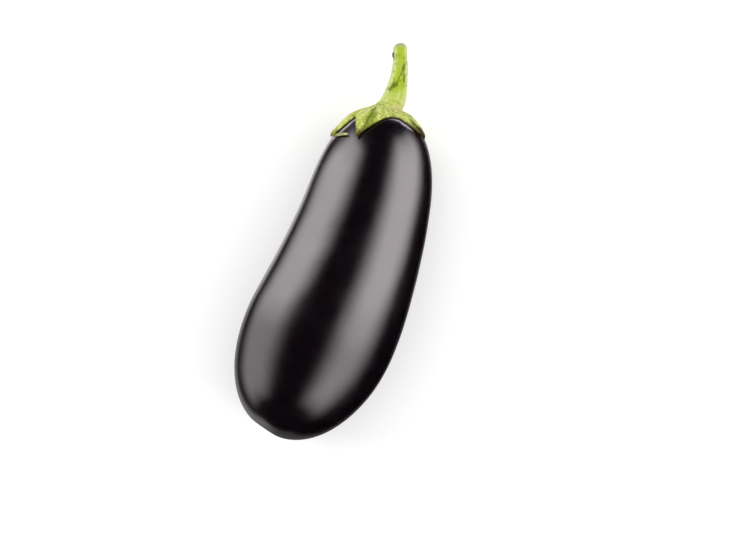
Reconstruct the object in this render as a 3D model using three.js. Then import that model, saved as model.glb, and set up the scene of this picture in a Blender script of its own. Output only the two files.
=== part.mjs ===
// A whole eggplant lying on its side: a glossy, slightly bowed fruit, and its green calyx and stalk.
// Millimetres, +Z up. The fruit's length runs along X with the stalk towards +X.
import * as THREE from 'three';

const { clamp, degToRad, lerp, smoothstep } = THREE.MathUtils;

// The fruit. Stations count along its centre line, from the crown under the calyx to the blossom end.
const FRUIT_LENGTH = 200;
const BOW = degToRad(28); // how far the centre line turns between its two ends
const NECK_RADIUS = 33.2;
const BELLY_RADIUS = 44.3;
const BELLY_STATION = 150; // where the widening from neck to belly ends
const CROWN_DEPTH = 55; // length of the rounding over at the crown
const CROWN_FULLNESS = 2.5; // 2 is an ellipse, and more is squarer
const TIP_DEPTH = 71;
const TIP_FULLNESS = 2.2;

// How it lies. The stalk end hangs a little, which brings the weight over the flattened spot.
const REST_PITCH = degToRad(5);
const FLAT_DEPTH = 0.8; // how much of the round underside the flat spot takes off

// The calyx: five pointed lobes with bays between them, draped over the crown. Around the stalk,
// 0 is straight up and 90 degrees is the outside of the bow. A reach is the angle over the crown's
// rounding, from 0 at its middle to 90 degrees at its widest. Each lobe starts in the bay before it.
// A taper of 1 gives a lobe straight sides, less makes it fuller, and more makes it slimmer.
const LOBES = [
  { bayAt: 14, bayReach: 32, at: 57, reach: 50, taper: 1.6 },
  { bayAt: 92, bayReach: 33, at: 128, reach: 54, taper: 1.6 },
  { bayAt: 168, bayReach: 32, at: 208, reach: 52, taper: 1.6 },
  { bayAt: 250, bayReach: 32, at: 293, reach: 59, taper: 0.7 },
  { bayAt: 308, bayReach: 36, at: 332, reach: 61, taper: 1.6 },
];
const SKIN_GAP = 0.35;
const CALYX_THICKNESS = 1.7; // next to the stalk
const EDGE_THICKNESS = 1.1;
const LOBE_KEEL = 0.5; // how far the middle of a lobe stands proud of its sides
const TIP_LIFT = 0.9; // how far the lobe tips curl up from the skin

// The stalk, on an arc that leaves the crown leaning to the outside of the bow and turns back.
const STALK_LENGTH = 43.5;
const STALK_LEAN = degToRad(21.5);
const STALK_END_LEAN = degToRad(-12);
const STALK_OFFSET = 1.5; // how far its foot stands off the middle of the crown
const STALK_BASE_RADIUS = 7.2;
const STALK_END_RADIUS = 3.8;
const STALK_TAPER_LENGTH = 38;
const STALK_RIDGE = 0.06; // share of the radius that the five ridges rise and fall by
const FLARE_REACH = 15; // where the fillet between stalk and calyx starts, as a lobe's reach
const FLARE_CORNER = 1.5; // heights on the stalk that the fillet bends round and ends at
const FLARE_TOP = 8;
const CUT_ROUNDING = 2.6; // length of the worn, rounded cut end

// How finely the surfaces are divided.
const FRUIT_SIDES = 56;
const FRUIT_RINGS = 42;
const CALYX_SIDES = 72;
const CALYX_RINGS = 9;
const FLARE_RINGS = 5;
const STALK_RINGS = 9;
const CUT_RINGS = 3;

const SKIN = { color: 0x120b14, roughness: 0.22, metalness: 0 };
const GREEN = { color: 0x9fb24c, roughness: 0.6, metalness: 0 };

// Where the centre line passes at a station. Beyond the crown it runs on straight.
function centreLine(station) {
  const bendRadius = FRUIT_LENGTH / BOW;
  const crownTurn = -BOW / 2;
  const turn = crownTurn + BOW * (clamp(station, 0, FRUIT_LENGTH) / FRUIT_LENGTH);
  const beyond = Math.min(station, 0);
  return {
    x: -bendRadius * (Math.sin(turn) - Math.sin(crownTurn)) - beyond * Math.cos(turn),
    y: -bendRadius * (Math.cos(turn) - Math.cos(crownTurn)) + beyond * Math.sin(turn),
    turn,
  };
}

// A point given by its station, its offset to the outside of the bow and its offset upwards.
function onFruit(station, outward, upward) {
  const { x, y, turn } = centreLine(station);
  return new THREE.Vector3(x - outward * Math.sin(turn), y - outward * Math.cos(turn), upward);
}

function sleeveRadius(station) {
  return lerp(NECK_RADIUS, BELLY_RADIUS, smoothstep(station, 0, BELLY_STATION));
}

// The share of its full radius that a rounded end has at a distance from its pole.
function rounding(distance, depth, fullness) {
  const fromShoulder = clamp(1 - distance / depth, 0, 1);
  return (1 - fromShoulder ** fullness) ** (1 / fullness);
}

function fruitRadius(station) {
  const crown = rounding(station, CROWN_DEPTH, CROWN_FULLNESS);
  const tip = rounding(FRUIT_LENGTH - station, TIP_DEPTH, TIP_FULLNESS);
  return sleeveRadius(station) * crown * tip;
}

// A station and radius on the crown, by the angle over its rounding and the height off the skin.
function onCrown(reach, height) {
  const power = 2 / CROWN_FULLNESS;
  const station = CROWN_DEPTH * (1 - Math.cos(reach) ** power);
  const radius = sleeveRadius(station) * Math.sin(reach) ** power;
  const normal = new THREE.Vector2(
    Math.sin(reach) ** (2 - power) / NECK_RADIUS,
    Math.cos(reach) ** (2 - power) / CROWN_DEPTH,
  ).normalize();
  return { station: station - height * normal.y, radius: radius + height * normal.x };
}

// Moves each corner of a lathed surface to where place(angle, ring) puts it.
function shaped(profile, sides, place) {
  const geometry = new THREE.LatheGeometry(profile, sides);
  const { position, uv } = geometry.attributes;
  for (let corner = 0; corner < position.count; corner += 1) {
    const angle = uv.getX(corner) * 2 * Math.PI;
    const ring = Math.round(uv.getY(corner) * (profile.length - 1));
    const point = place(angle, ring);
    position.setXYZ(corner, point.x, point.y, point.z);
  }
  geometry.rotateY(REST_PITCH);
  geometry.computeVertexNormals();
  return geometry;
}

function fruit() {
  const profile = [];
  for (let ring = 0; ring <= FRUIT_RINGS; ring += 1) {
    const sweep = (Math.PI * ring) / FRUIT_RINGS;
    const station = (FRUIT_LENGTH * (1 + Math.cos(sweep))) / 2;
    const atPole = ring === 0 || ring === FRUIT_RINGS;
    profile.push(new THREE.Vector2(atPole ? 0 : fruitRadius(station), station));
  }
  const geometry = shaped(profile, FRUIT_SIDES, (angle, ring) => {
    const { x: radius, y: station } = profile[ring];
    return onFruit(station, radius * Math.sin(angle), radius * Math.cos(angle));
  });
  flattenUnderside(geometry);
  return new THREE.Mesh(geometry, new THREE.MeshStandardMaterial(SKIN));
}

// Presses the lowest skin flat, as the weight of the fruit does where it lies.
function flattenUnderside(geometry) {
  const { position } = geometry.attributes;
  const floor = new THREE.Box3().setFromBufferAttribute(position).min.z + FLAT_DEPTH;
  for (let corner = 0; corner < position.count; corner += 1) {
    position.setZ(corner, Math.max(position.getZ(corner), floor));
  }
  geometry.computeVertexNormals();
}

// How near an angle is to the middle of a lobe, from 0 in a bay to 1, and how far the edge reaches.
function lobeAt(angle) {
  const past = (from, to) => THREE.MathUtils.euclideanModulo(to - from, 360);
  const degrees = THREE.MathUtils.radToDeg(angle);
  const index = LOBES.reduce(
    (best, { bayAt }, other) => (past(bayAt, degrees) < past(LOBES[best].bayAt, degrees) ? other : best),
    0,
  );
  const lobe = LOBES[index];
  const next = LOBES[(index + 1) % LOBES.length];
  const inside = past(lobe.bayAt, degrees);
  const toTip = past(lobe.bayAt, lobe.at);
  const width = past(lobe.bayAt, next.bayAt);
  const nearness = inside < toTip ? inside / toTip : (width - inside) / (width - toTip);
  const bayReach = inside < toTip ? lobe.bayReach : next.bayReach;
  const lobeness = nearness ** lobe.taper;
  return { lobeness, reach: degToRad(lerp(bayReach, lobe.reach, lobeness)) };
}

// A point of the calyx: how far out to its edge, and which of its two faces.
function onCalyx(angle, share, upperFace) {
  const { lobeness, reach } = lobeAt(angle);
  const curl = TIP_LIFT * lobeness * share ** 6;
  const keel = LOBE_KEEL * lobeness * Math.sin(Math.PI * share);
  const thickness = lerp(CALYX_THICKNESS, EDGE_THICKNESS, share) + keel;
  const height = SKIN_GAP + curl + (upperFace ? thickness : 0);
  const { station, radius } = onCrown(reach * share, height);
  return onFruit(station, radius * Math.sin(angle), radius * Math.cos(angle));
}

// A point of the stalk at a height along its arc and a share of its radius.
function onStalk(angle, height, share) {
  const bendRadius = STALK_LENGTH / (STALK_END_LEAN - STALK_LEAN);
  const lean = lerp(STALK_LEAN, STALK_END_LEAN, height / STALK_LENGTH);
  const taper = smoothstep(height, 0, STALK_TAPER_LENGTH);
  const ridge = 1 + STALK_RIDGE * (2 * lobeAt(angle).lobeness - 1);
  const radius = lerp(STALK_BASE_RADIUS, STALK_END_RADIUS, taper) * ridge * share;
  const across = radius * Math.sin(angle);
  const along = bendRadius * (Math.cos(STALK_LEAN) - Math.cos(lean)) + STALK_OFFSET * (1 - taper);
  const outward = along + across * Math.cos(lean);
  const above = bendRadius * (Math.sin(lean) - Math.sin(STALK_LEAN)) - across * Math.sin(lean);
  return onFruit(-above, outward, radius * Math.cos(angle));
}

// The fillet between the calyx and the stalk, from 0 on the calyx to 1 on the stalk.
function onFlare(angle, share) {
  const { reach } = lobeAt(angle);
  const foot = onCalyx(angle, degToRad(FLARE_REACH) / reach, true);
  const corner = onStalk(angle, FLARE_CORNER, 1);
  const top = onStalk(angle, FLARE_TOP, 1);
  return new THREE.QuadraticBezierCurve3(foot, corner, top).getPoint(share);
}

function calyxAndStem() {
  const rings = [];
  for (let ring = 0; ring <= CALYX_RINGS; ring += 1) {
    const share = Math.sin((Math.PI / 2) * (ring / CALYX_RINGS));
    rings.push((angle) => onCalyx(angle, share, false));
  }
  for (let ring = 0; ring < CALYX_RINGS; ring += 1) {
    const inward = ring / CALYX_RINGS;
    rings.push((angle) => {
      const foot = degToRad(FLARE_REACH) / lobeAt(angle).reach;
      return onCalyx(angle, lerp(1, foot, inward), true);
    });
  }
  for (let ring = 0; ring < FLARE_RINGS; ring += 1) {
    rings.push((angle) => onFlare(angle, ring / FLARE_RINGS));
  }
  for (let ring = 0; ring <= STALK_RINGS; ring += 1) {
    const height = lerp(FLARE_TOP, STALK_LENGTH - CUT_ROUNDING, ring / STALK_RINGS);
    rings.push((angle) => onStalk(angle, height, 1));
  }
  for (let ring = 1; ring <= CUT_RINGS; ring += 1) {
    const sweep = (Math.PI / 2) * (ring / CUT_RINGS);
    const height = STALK_LENGTH - CUT_ROUNDING * (1 - Math.sin(sweep));
    rings.push((angle) => onStalk(angle, height, ring < CUT_RINGS ? Math.cos(sweep) : 0));
  }

  // The profile only fixes the number of rings and closes both ends on the axis.
  const profile = rings.map((_, ring) => {
    const onAxis = ring === 0 || ring === rings.length - 1;
    return new THREE.Vector2(onAxis ? 0 : 1, ring);
  });
  const geometry = shaped(profile, CALYX_SIDES, (angle, ring) => rings[ring](angle));
  return new THREE.Mesh(geometry, new THREE.MeshStandardMaterial(GREEN));
}

const eggplant = new THREE.Group();
const pieces = { fruit: fruit(), calyx_and_stem: calyxAndStem() };
for (const [name, mesh] of Object.entries(pieces)) {
  mesh.name = name;
  eggplant.add(mesh);
}

// The origin is under the middle of the whole part, on the surface that it lies on.
const extent = new THREE.Box3().setFromObject(eggplant);
const middle = extent.getCenter(new THREE.Vector3());
eggplant.position.set(-middle.x, -middle.y, -extent.min.z);

export default eggplant;
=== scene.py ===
"""A whole eggplant lying on its side: its glossy skin, its green calyx and stalk, and a studio."""

import bisect
import math
from collections import namedtuple

import bmesh
import bpy
from bpy.props import FloatProperty, FloatVectorProperty, PointerProperty
from mathutils import Matrix, Vector, kdtree, noise


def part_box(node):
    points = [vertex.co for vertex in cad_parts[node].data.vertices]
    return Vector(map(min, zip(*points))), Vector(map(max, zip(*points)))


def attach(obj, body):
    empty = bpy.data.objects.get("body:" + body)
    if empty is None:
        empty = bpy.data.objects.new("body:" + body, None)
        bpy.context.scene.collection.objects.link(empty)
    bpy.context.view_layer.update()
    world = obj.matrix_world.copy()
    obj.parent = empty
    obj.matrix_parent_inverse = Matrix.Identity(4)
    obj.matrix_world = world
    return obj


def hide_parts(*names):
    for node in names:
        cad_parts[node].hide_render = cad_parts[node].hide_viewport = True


bl_info = {
    "name": "Eggplant",
    "version": (1, 0, 0),
    "blender": (4, 5, 0),
    "location": "3D View > Sidebar > Eggplant",
    "description": "Builds the skin, calyx and stalk of an eggplant and a studio around it",
    "category": "Add Mesh",
}

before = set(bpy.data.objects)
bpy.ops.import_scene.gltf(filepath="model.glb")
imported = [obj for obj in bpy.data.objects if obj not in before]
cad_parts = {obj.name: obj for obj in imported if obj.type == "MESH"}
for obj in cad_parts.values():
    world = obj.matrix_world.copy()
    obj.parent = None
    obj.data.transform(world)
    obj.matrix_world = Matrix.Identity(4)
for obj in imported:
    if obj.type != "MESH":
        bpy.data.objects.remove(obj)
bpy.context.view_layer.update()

MM = 0.001

# Around the stalk, 0 degrees is straight up and 90 degrees is the outside of the bow.
# A reach is the angle over the crown's rounding at which the margin of the calyx lies.
# Each lobe starts in the bay before it. A taper of 1 gives it straight sides, less makes it
# fuller, and more makes it slimmer.
Lobe = namedtuple("Lobe", "bay_at bay_reach at reach taper")
LOBES = (
    Lobe(14, 32, 57, 50, 1.6),
    Lobe(92, 33, 128, 54, 1.6),
    Lobe(168, 32, 208, 52, 1.6),
    Lobe(250, 32, 293, 59, 0.7),
    Lobe(308, 36, 332, 59.5, 1.6),
)

# How many millimetres of pale skin show beyond the calyx, by the degrees around the stalk.
# The band is partly skin that the calyx kept pale and partly a painted highlight on the skin's
# shoulder.
PALE_RIM = (
    (0, 0.4),
    (10, 1.3),
    (24, 2.5),
    (32, 2.9),
    (38, 2.0),
    (42, 1.2),
    (46, 0.5),
    (62, 0.3),
    (95, 1.6),
    (130, 0.5),
    (170, 1.5),
    (210, 0.4),
    (250, 1.4),
    (275, 0.8),
    (298, 2.4),
    (306, 2.8),
    (310, 3.4),
    (314, 1.0),
    (340, 0.2),
    (360, 0.4),
)

# The fold runs down one lobe. It starts at one angle near the stalk and settles at the other.
FOLD_TOP = math.radians(325)
FOLD_AT = math.radians(336)
FOLD_WANDER = 0.05

# Where the lobes have dried: the middle and width of each patch around the stalk, where it starts
# and where it is complete on the way to the margin, and how dry it is.
DryPatch = namedtuple("DryPatch", "at width start end strength")
DRY_PATCHES = (
    DryPatch(math.radians(47), 0.20, 0.52, 0.88, 0.95),
    DryPatch(math.radians(55), 0.19, 0.70, 0.90, 1.5),
    DryPatch(math.radians(333), 0.13, 0.80, 0.98, 1.0),
    DryPatch(math.radians(290), 0.22, 0.84, 0.98, 0.85),
)

# Single marks by the angle around the stalk where their middle lies, and how wide they are.
Beside = namedtuple("Beside", "at width")
RUDDY = Beside(math.radians(54), 0.16)
SLIT = Beside(math.radians(314), 0.16)
PALE_EDGE = Beside(math.radians(300), 0.14)

# Where the ridges of the stalk stand, in degrees around it, how wide they are, and the heights
# between which they take over from the lobes.
STALK_RIDGES = (-62, 70, 140, 205, 255)
RIDGE_WIDTH = 0.46
RIDGES_FROM = 1 * MM
RIDGES_FULL = 12 * MM

# Marks on the stalk: how far round it and how high up their middle lies, how far they reach both
# ways, and how they lean.
Mark = namedtuple("Mark", "round height width length lean")


def mark_of(around_it, height, width, length, lean=0):
    """A mark from its measures in millimetres and its lean in degrees."""
    return Mark(around_it * MM, height * MM, width * MM, length * MM, math.radians(lean))


BRUISES = (
    mark_of(-1.8, 16.8, 2.2, 6.8, 33),
    mark_of(-3.6, 13.6, 1.5, 3.0, 20),
    mark_of(2.7, 27.8, 2.0, 4.4, 12),
    mark_of(3.7, 21.6, 1.4, 4.6, -6),
    mark_of(0.3, 22.4, 0.9, 3.8, 20),
    mark_of(12.0, 25.0, 1.6, 3.6, -20),
    mark_of(16.0, 13.0, 1.4, 4.6, 15),
    mark_of(-11.5, 30.0, 1.5, 3.6, 10),
)
NUB = mark_of(-7.4, 36.0, 2.2, 4.6)
NUB_HEIGHT = 1.1 * MM
BLUSH = mark_of(3.2, 3.0, 3.8, 5.2)
# Pale marks on the stalk; the two high ones, one on each flank, are painted light along its sides.
PALE_STREAKS_AND_FLANK_LIGHT = (
    mark_of(1.6, 10.5, 1.3, 6.0),
    mark_of(4.8, 35.5, 2.6, 10.0),
    mark_of(-4.6, 37.0, 1.6, 8.0),
)
MARK_RADIUS = 5.5 * MM  # turns an angle around the stalk into a way round it
CROWN_RADIUS = 30 * MM  # turns a reach into a way over the crown
RAY_RADIUS = 7 * MM  # draws the grain out along the stalk and the lobes
RAY_SHARE = 0.15

# Layers of unevenness: how high each is and how close its waves lie.
Wave = namedtuple("Wave", "height scale")
SKIN_WAVES = (Wave(1, 24), Wave(0.35, 60))
MARGIN_WAVES = (
    Wave(math.radians(1.5), 3.1),
    Wave(math.radians(0.8), 9),
    Wave(math.radians(0.7), 27),
)
CRUMPLES = (Wave(0.30 * MM, 5), Wave(0.14 * MM, 14), Wave(0.09 * MM, 32))
STALK_GRAIN = (Wave(0.05, 2), Wave(0.03, 7), Wave(0.012, 22))
GRAIN_LENGTH = 26 * MM  # draws the unevenness of the stalk out along it

MARGIN_BULGE = 0.016
WRINKLE_HEIGHT = 0.12 * MM
RIB_HEIGHT = 0.3 * MM
RIB_WIDTH = 0.07
DIMPLE_RADIUS = 6 * MM

# The torn strip that curls off the tip of one lobe. Where there are two values, the first is at
# its root and the second at its free end.
CURL_ANGLES = (math.radians(288), math.radians(319.5))
CURL_REACHES = (math.radians(56.6), math.radians(58))
CURL_WIDTHS = (0.9 * MM, 0.75 * MM)
CURL_LIFTS = (1.5 * MM, 0.8 * MM)
CURL_HOOK = 0.6 * MM
CURL_CUP = 0.25 * MM
CURL_THICKNESS = 0.28 * MM
CURL_RADIUS = 34 * MM  # turns its width into an angle over the crown

# How finely the surfaces are divided.
FRUIT_SIDES = 288
CROWN_RINGS = 90
BELLY_RINGS = 30
TIP_RINGS = 50
CALYX_SIDES = 400
UNDER_RINGS = 18
MARGIN_RINGS = 6
UPPER_RINGS = 84
FLARE_RINGS = 14
STALK_RINGS = 84
CUT_RINGS = 10
CURL_SEGMENTS = 24
SEAT_STEPS = 200
SEAT_SIDES = 24

# The fillet between calyx and stalk: the reach where it starts, and the heights on the stalk that
# it bends round and ends at.
FLARE_REACH = math.radians(15)
FLARE_CORNER = 1.5 * MM
FLARE_TOP = 8 * MM

# The studio, in metres, and the picture, in pixels and in the millimetres of its sensor.
MIDDLE = Vector((0, 0, 0.04))
FLOOR_RADIUS = 6
TENT_RADIUS = 0.9
TENT_LENGTH = 4.4
TENT_SHIFT = 0.6
GLOSSY_SKY = 0.002
CAMERA_SKY = 1.1
PICTURE = (736, 552)
CROWN_PIXEL = (385.3, 112.8)
SENSOR = 36

# Where each lamp hangs, how wide it is, and the setting that holds its power.
Lamp = namedtuple("Lamp", "name place size power")
LAMPS = (
    Lamp("top_lamp", (0, 0, 1.6), 1.8, "top_power"),
    Lamp("left_lamp", (0, 1.1, 1.0), 0.9, "side_power"),
    Lamp("right_lamp", (0, -1.1, 1.0), 0.9, "side_power"),
)


def colour(red, green, blue):
    """A linear colour from the 0 to 255 values of a colour picker."""
    shares = (red / 255, green / 255, blue / 255)
    return tuple(s / 12.92 if s <= 0.04045 else ((s + 0.055) / 1.055) ** 2.4 for s in shares)


def number_property(name, description, default, **kind):
    return FloatProperty(name=name, description=description, default=default, **kind)


def length_property(name, description, default):
    return number_property(name, description, default, min=0, unit="LENGTH", subtype="DISTANCE")


def angle_property(name, description, degrees):
    default = math.radians(degrees)
    return number_property(name, description, default, unit="ROTATION", subtype="ANGLE")


def colour_property(name, description, default):
    kind = {"size": 3, "min": 0, "max": 1, "subtype": "COLOR"}
    return FloatVectorProperty(name=name, description=description, default=default, **kind)


class FruitSettings(bpy.types.PropertyGroup):
    """Sizes and colours of the fruit."""

    length: length_property("Length", "Along the centre line, crown to blossom end", 200 * MM)
    bow: angle_property("Bow", "How far the centre line turns between its two ends", 28)
    neck_radius: length_property("Neck radius", "Where the neck meets the crown", 33.2 * MM)
    belly_radius: length_property("Belly radius", "At the widest", 44.3 * MM)
    belly_station: length_property("Belly station", "Where the widening ends", 150 * MM)
    crown_depth: length_property("Crown depth", "Length of the rounding at the stalk end", 55 * MM)
    crown_fullness: number_property("Crown fullness", "2 is an ellipse", 2.5)
    tip_depth: length_property("Tip depth", "Length of the rounding at the blossom end", 71 * MM)
    tip_fullness: number_property("Tip fullness", "2 is an ellipse", 2.2)
    rest_pitch: angle_property("Resting pitch", "How far the stalk end hangs", 5)
    swell: length_property("Swell", "Height of the slow unevenness of the skin", 0.35 * MM)
    dimple: length_property("Dimple", "Depth of the hollow round the blossom scar", 1.0 * MM)
    skin: colour_property("Skin", "The black-purple of the ripe skin", (0.0030, 0.0014, 0.0028))
    warm: colour_property("Warm skin", "Faint brown patches in the skin", (0.0042, 0.0018, 0.0024))
    violet: colour_property("Violet skin", "Where the skin pales at the calyx", (0.055, 0.030, 0.066))
    # The lilac in the slit is a painted highlight where the light band runs in between two lobes.
    slit_highlight: colour_property("Lilac skin", "In the slit between two lobes", (0.052, 0.038, 0.056))
    ruddy: colour_property("Ruddy skin", "Beside the dry lobe of the calyx", (0.030, 0.006, 0.008))
    # The pale skin colour is partly skin that the calyx kept pale and partly a painted highlight.
    pale_skin_and_highlight: colour_property("Shaded skin", "Skin that the calyx kept pale", colour(190, 182, 188))
    scar: colour_property("Scar", "The corky scar at the blossom end", colour(146, 110, 74))
    scar_crust: colour_property("Scar crust", "The crust of the scar", (0.07, 0.035, 0.02))
    scar_middle: colour_property("Scar middle", "The pit of the scar", (0.03, 0.015, 0.01))
    scar_halo: colour_property("Scar halo", "The skin round the scar", (0.050, 0.018, 0.014))


class CalyxSettings(bpy.types.PropertyGroup):
    """Sizes and colours of the calyx."""

    skin_gap: length_property("Skin gap", "Between the calyx and the skin", 0.35 * MM)
    thickness: length_property("Thickness", "Next to the stalk", 1.7 * MM)
    edge_thickness: length_property("Edge thickness", "At the margin", 0.9 * MM)
    keel: length_property("Keel", "How far the middle of a lobe stands proud", 0.5 * MM)
    tip_lift: length_property("Tip lift", "How far the lobe tips curl up", 0.9 * MM)
    fold: length_property("Fold", "Height of the step where a lobe is folded", 0.7 * MM)
    # The bright green paints the palest specks and also a painted highlight at the free end of the
    # torn strip.
    bright: colour_property("Bright green", "The palest specks", colour(238, 240, 176))
    light: colour_property("Light green", "The raised parts", colour(226, 230, 132))
    middle: colour_property("Middle green", "Between the specks", colour(160, 176, 48))
    # The dark green paints the specks and also the fold's painted shadow line; the folded green is
    # painted shade on the fold's far side.
    dark: colour_property("Dark green", "The specks", colour(84, 84, 22))
    folded: colour_property("Folded green", "The olive side of a fold", colour(118, 140, 8))
    margin: colour_property("Margin", "The dried brown margin", colour(60, 44, 18))
    dry: colour_property("Dry tip", "The drying ends of the lobes", colour(84, 78, 16))
    curl: colour_property("Curl", "The torn strip that curls off a lobe", colour(154, 148, 104))
    withered: colour_property("Withered", "Where a lobe is dried right out", colour(30, 18, 8))


class StalkSettings(bpy.types.PropertyGroup):
    """Sizes and colours of the stalk."""

    length: length_property("Length", "Along the middle of the stalk", 43.5 * MM)
    lean: angle_property("Lean", "Where it leaves the crown", 21.5)
    end_lean: angle_property("End lean", "At the cut end", -12)
    offset: length_property("Offset", "How far its foot stands off the middle of the crown", 1.5 * MM)
    base_radius: length_property("Base radius", "Where it meets the calyx", 7.2 * MM)
    end_radius: length_property("End radius", "At the cut end", 3.8 * MM)
    taper_length: length_property("Taper length", "Where the narrowing ends", 38 * MM)
    cut_rounding: length_property("Cut rounding", "Length of the worn cut end", 3.2 * MM)
    ridge: number_property("Ridge", "Share of the radius in the ridges", 0.08)
    green: colour_property("Green", "Between the ridges", colour(166, 190, 34))
    pale: colour_property("Pale green", "Along the ridges", colour(208, 214, 140))
    bruise: colour_property("Bruise", "The olive bruises", colour(80, 94, 6))
    blush: colour_property("Blush", "The pinkish patch at its foot", colour(212, 192, 156))
    cut: colour_property("Cut end", "The dry cut end", colour(184, 190, 140))
    cut_ring: colour_property("Cut rings", "The rings in the cut end", colour(156, 160, 112))
    cut_wood: colour_property("Cut wood", "The woody part of the cut end", colour(140, 138, 86))


class StudioSettings(bpy.types.PropertyGroup):
    """The floor, the lamps and the camera."""

    floor: colour_property("Floor", "The pale floor", (0.90, 0.90, 0.90))
    floor_glow: number_property("Floor glow", "Softens the shadow on the floor", 0.2)
    tent: colour_property("Tent", "The light that the tent gives", (1.0, 0.93, 0.96))
    left_tent: number_property("Left tent", "Brightness of the tent's left side", 1.84)
    right_tent: number_property("Right tent", "Brightness of the tent's right side", 1.85)
    tent_floor: number_property("Tent floor", "Brightness of the tent underneath", 1.25)
    top_power: number_property("Top lamp", "Power of the soft lamp overhead", 12)
    side_power: number_property("Side lamps", "Power of each soft lamp at the side", 9)
    sky: number_property("Sky", "Brightness of the light from all round", 0.35)
    elevation: angle_property("Elevation", "How high the camera stands over the floor", 87)
    roll: angle_property("Roll", "How far the camera is turned about its view", 20.95)
    lens: number_property("Lens", "Focal length in millimetres", 85)
    pixel: length_property("Pixel", "Size of one pixel at the fruit", 0.58 * MM)


class EggplantSettings(bpy.types.PropertyGroup):
    """All the settings of the eggplant."""

    fruit: PointerProperty(type=FruitSettings)
    calyx: PointerProperty(type=CalyxSettings)
    stalk: PointerProperty(type=StalkSettings)
    studio: PointerProperty(type=StudioSettings)


# --- Soft steps and waves ---


def lerp(start, end, share):
    return start + (end - start) * share


def smooth(value, start, end):
    """0 before start, 1 after end, and a soft step between."""
    share = min(max((value - start) / (end - start), 0), 1)
    return share * share * (3 - 2 * share)


def smooth_angle(angle, start, end):
    """The same soft step between two angles in degrees."""
    return smooth(angle, math.radians(start), math.radians(end))


def bell(distance, width):
    """1 where the distance is 0, and nearly nothing two widths away."""
    return math.exp(-((distance / width) ** 2))


def waves(place, layers):
    """The unevenness at a place, summed over its layers."""
    return sum(layer.height * noise.noise(place * layer.scale) for layer in layers)


def turned(angle):
    """The same angle between half a turn back and half a turn on."""
    return (angle + math.pi) % math.tau - math.pi


def beside(angle, mark):
    """How near an angle is to a mark around the stalk, from 0 to 1 in its middle."""
    return bell(turned(angle - mark.at), mark.width)


# --- The shape of the fruit ---


def on_fruit(fruit, station, outward, upward):
    """A point by its station on the centre line and its offsets outwards, off the bow, and upwards."""
    bend_radius = fruit.length / fruit.bow
    crown_turn = -fruit.bow / 2
    turn = crown_turn + fruit.bow * min(max(station / fruit.length, 0), 1)
    beyond = min(station, 0)
    x = -bend_radius * (math.sin(turn) - math.sin(crown_turn)) - beyond * math.cos(turn)
    y = -bend_radius * (math.cos(turn) - math.cos(crown_turn)) + beyond * math.sin(turn)
    return Vector((x - outward * math.sin(turn), y - outward * math.cos(turn), upward))


def around(fruit, station, radius, angle):
    return on_fruit(fruit, station, radius * math.sin(angle), radius * math.cos(angle))


def sleeve_radius(fruit, station):
    return lerp(fruit.neck_radius, fruit.belly_radius, smooth(station, 0, fruit.belly_station))


def rounding(distance, depth, fullness):
    """The share of its full radius that a rounded end has at a distance from its pole."""
    from_shoulder = min(max(1 - distance / depth, 0), 1)
    return (1 - from_shoulder**fullness) ** (1 / fullness)


def fruit_radius(fruit, station):
    crown = rounding(station, fruit.crown_depth, fruit.crown_fullness)
    tip = rounding(fruit.length - station, fruit.tip_depth, fruit.tip_fullness)
    return sleeve_radius(fruit, station) * crown * tip


def on_crown(fruit, reach, height):
    """A station and a radius by the angle over the crown's rounding and the height off the skin."""
    power = 2 / fruit.crown_fullness
    station = fruit.crown_depth * (1 - math.cos(reach) ** power)
    radius = sleeve_radius(fruit, station) * math.sin(reach) ** power
    normal = Vector((
        math.sin(reach) ** (2 - power) / fruit.neck_radius,
        math.cos(reach) ** (2 - power) / fruit.crown_depth,
    )).normalized()
    return station - height * normal.y, radius + height * normal.x


def rest_turn(fruit):
    return Matrix.Rotation(fruit.rest_pitch, 3, "Y")


def seat(fruit):
    """How far the turned fruit moves so that it fills the box of the frame's own fruit."""
    points = [rest_turn(fruit) @ on_fruit(fruit, fruit.length, 0, 0)]
    for step in range(1, SEAT_STEPS):
        station = fruit.length * step / SEAT_STEPS
        radius = fruit_radius(fruit, station)
        for side in range(SEAT_SIDES):
            point = around(fruit, station, radius, math.tau * side / SEAT_SIDES)
            points.append(rest_turn(fruit) @ point)
    low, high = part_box("fruit")
    middle_y = (min(point.y for point in points) + max(point.y for point in points)) / 2
    return Vector((
        low.x - min(point.x for point in points),
        (low.y + high.y) / 2 - middle_y,
        high.z - max(point.z for point in points),
    ))


def fruit_stations(fruit):
    """Where the rings of the fruit lie, closer together where the ends turn in."""
    crown = [on_crown(fruit, math.pi / 2 * ring / CROWN_RINGS, 0)[0] for ring in range(CROWN_RINGS)]
    shoulder = fruit.length - fruit.tip_depth
    belly = [lerp(fruit.crown_depth, shoulder, ring / BELLY_RINGS) for ring in range(BELLY_RINGS)]
    turns = [math.pi / 2 * ring / TIP_RINGS for ring in range(TIP_RINGS + 1)]
    tip = [shoulder + fruit.tip_depth * math.sin(turn) ** (2 / fruit.tip_fullness) for turn in turns]
    return crown + belly + tip


def on_skin(fruit, station, angle):
    """A point of the skin, with its slow unevenness and the hollow at the blossom end."""
    radius = fruit_radius(fruit, station)
    spot = around(fruit, station, radius, angle)
    away_from_ends = smooth(station, 35 * MM, 80 * MM) * smooth(radius, 0, 30 * MM)
    radius += fruit.swell * waves(spot, SKIN_WAVES) * away_from_ends
    if station > fruit.length / 2:
        station -= fruit.dimple * bell(radius, DIMPLE_RADIUS)
    return around(fruit, station, radius, angle)


# --- The shape of the calyx and the stalk ---


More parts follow.
